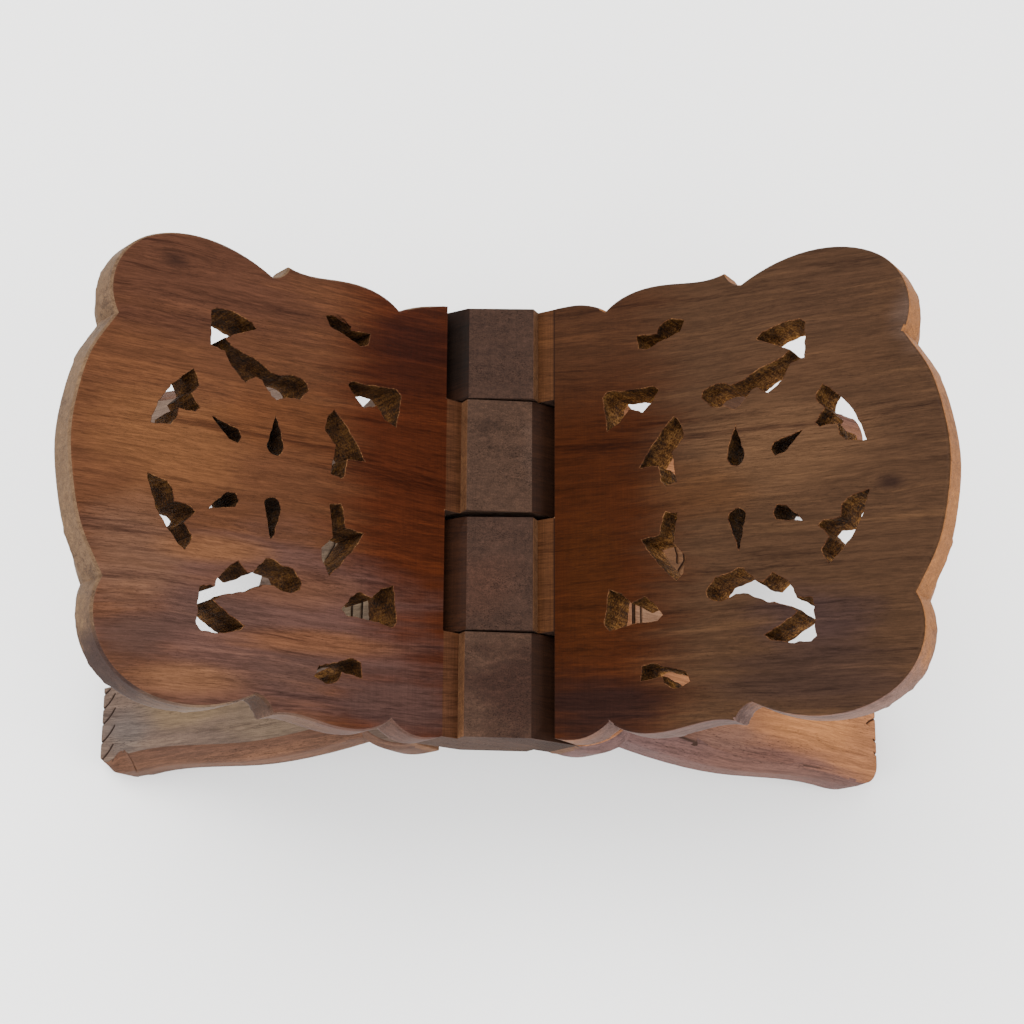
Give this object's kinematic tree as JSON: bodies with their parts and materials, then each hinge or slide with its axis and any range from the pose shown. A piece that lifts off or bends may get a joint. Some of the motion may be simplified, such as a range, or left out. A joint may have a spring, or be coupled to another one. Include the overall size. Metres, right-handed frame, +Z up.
{
  "type": "folding book rest",
  "caption": "Folding X-shaped book rest carved from one plank: pierced, scalloped panels on arched legs, joined by knuckles cut in the wood.",
  "frame": {"origin": "on the floor under the middle of the open stand, which rests on its stop", "axes": "+Z up, the hinge axis runs along Y, and the panel of the right leaf rises to +X"},
  "size_m": [0.3712, 0.1983, 0.2393],
  "materials": {
    "left_leaf_wood": "reddish brown hardwood, hand rubbed to a satin sheen, grain along the leaf",
    "right_leaf_wood": "darker brown hardwood, hand rubbed to a satin sheen, grain along the leaf"
  },
  "bodies": {
    "left_leaf": {"left_leaf": "left_leaf_wood"},
    "right_leaf": {"right_leaf": "right_leaf_wood"}
  },
  "joints": [
    {"name": "leaf_fold", "type": "hinge", "parent": "left_leaf", "child": "right_leaf", "pos_m": [-0.00541, 0.00124, 0.11664], "axis": [0, -1, 0], "range_deg": [0, 109.5]}
  ]
}
